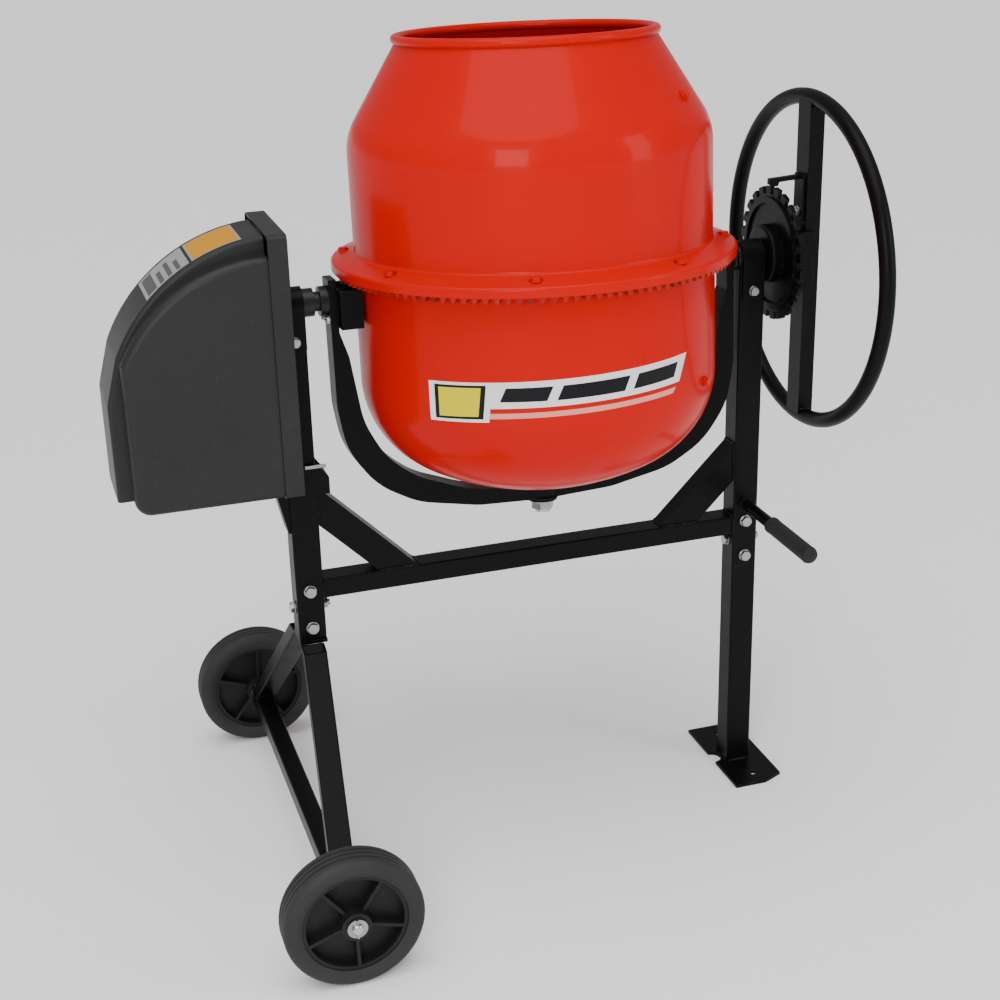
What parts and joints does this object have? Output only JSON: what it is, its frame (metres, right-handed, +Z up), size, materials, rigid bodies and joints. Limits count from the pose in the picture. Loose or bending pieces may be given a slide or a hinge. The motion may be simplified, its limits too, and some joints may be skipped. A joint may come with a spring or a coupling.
{
  "type": "concrete mixer",
  "caption": "Tilting-drum concrete mixer: red drum in a yoke between two posts, crown gear drive under a cover, tipping handwheel with notched lock disc, wheels and a foot.",
  "frame": {"origin": "middle of the object's box, on the ground under the wheels and the foot plate", "axes": "+Z up, +X from the motor side to the handwheel side along the trunnion line, the operator stands on the -Y side"},
  "size_m": [1.1254, 0.832, 1.2816],
  "materials": {
    "frame_black": "semi-gloss black paint",
    "drum_red": "gloss bright red paint",
    "gear_red": "satin dark red paint",
    "zinc": "zinc plated",
    "bright_steel": "turned",
    "iron": "as cast, greased",
    "bronze": "turned",
    "tyre_rubber": "matte",
    "rim_plastic": "satin moulded",
    "grip_rubber": "matte",
    "belt_rubber": "matte",
    "cover_plastic": "fine grained",
    "motor_alu": "cast",
    "switch_plastic": "satin",
    "start_green": "gloss",
    "stop_red": "gloss"
  },
  "bodies": {
    "frame": {"left_post": "frame_black", "right_post": "frame_black", "support_leg": "frame_black", "foot_plate": "frame_black", "beam": "frame_black", "left_brace": "frame_black", "right_brace": "frame_black", "brace_clamp": "frame_black", "leg_socket": "frame_black", "wheel_leg_near": "frame_black", "wheel_leg_far": "frame_black", "axle_beam": "frame_black", "axle_rod": "bright_steel", "wheel_retainers": "zinc", "transport_handle": "frame_black", "handle_grip": "grip_rubber", "left_bearing": "iron", "left_bearing_cap": "frame_black", "right_bearing": "iron", "right_bearing_cap": "frame_black", "lock_dial": "frame_black", "cover_back": "cover_plastic", "cover_hood": "cover_plastic", "cover_bracket": "frame_black", "motor_mount": "frame_black", "motor_body": "motor_alu", "drive_belt": "belt_rubber", "switch_housing": "switch_plastic", "cable_inlet": "switch_plastic", "frame_bolts": "zinc"},
    "yoke": {"yoke_arm": "frame_black", "left_trunnion": "iron", "right_trunnion": "iron", "shaft_bushes": "bronze", "pinion_guard": "frame_black", "drum_bush": "bronze", "wheel_guide": "frame_black", "yoke_bolts": "zinc"},
    "drum": {"drum_bowl": "drum_red", "drum_cone": "drum_red", "crown_gear": "gear_red", "drum_spindle": "bright_steel", "spindle_nuts": "zinc", "drum_bolts": "drum_red", "mixing_blade_1": "drum_red", "mixing_blade_2": "drum_red"},
    "handwheel": {"handwheel": "frame_black", "lock_tooth": "frame_black", "tooth_bolt": "zinc"},
    "drive": {"drive_shaft": "bright_steel", "drive_pinion": "iron", "drive_pulley": "iron"},
    "motor": {"motor_rotor": "bright_steel", "motor_pulley": "iron"},
    "near_wheel": {"near_rim": "rim_plastic", "near_tyre": "tyre_rubber"},
    "far_wheel": {"far_rim": "rim_plastic", "far_tyre": "tyre_rubber"},
    "start_button": {"start_button": "start_green"},
    "stop_button": {"stop_button": "stop_red"}
  },
  "joints": [
    {"name": "drum_tilt", "type": "hinge", "parent": "frame", "child": "yoke", "pos_m": [0.09325, 0, 0.904], "axis": [1, 0, 0], "range_deg": [-120, 120]},
    {"name": "drum_spin", "type": "hinge", "parent": "yoke", "child": "drum", "pos_m": [0.09325, 0, 0.904], "axis": [0, 0.0593, 0.9982], "continuous": true},
    {"name": "shaft_spin", "type": "hinge", "parent": "yoke", "child": "drive", "pos_m": [-0.3, 0, 0.904], "axis": [1, 0, 0], "continuous": true},
    {"name": "motor_spin", "type": "hinge", "parent": "frame", "child": "motor", "pos_m": [-0.4, 0, 0.745], "axis": [1, 0, 0], "continuous": true},
    {"name": "lock_slide", "type": "slide", "parent": "yoke", "child": "handwheel", "axis": [0, 0, -1], "range_m": [0, 0.009]},
    {"name": "near_wheel_spin", "type": "hinge", "parent": "frame", "child": "near_wheel", "pos_m": [-0.32575, -0.3755, 0.1036], "axis": [0, 1, 0], "continuous": true},
    {"name": "far_wheel_spin", "type": "hinge", "parent": "frame", "child": "far_wheel", "pos_m": [-0.32575, 0.3755, 0.1036], "axis": [0, 1, 0], "continuous": true},
    {"name": "start_press", "type": "slide", "parent": "frame", "child": "start_button", "axis": [0, -1, 0], "range_m": [0, 0.003], "stiffness_N_per_m": 400},
    {"name": "stop_press", "type": "slide", "parent": "frame", "child": "stop_button", "axis": [0, -1, 0], "range_m": [0, 0.003], "stiffness_N_per_m": 400}
  ],
  "couplings": [
    {"joint": "shaft_spin", "follows": "drum_spin", "ratio": 10},
    {"joint": "motor_spin", "follows": "drum_spin", "ratio": 80}
  ]
}
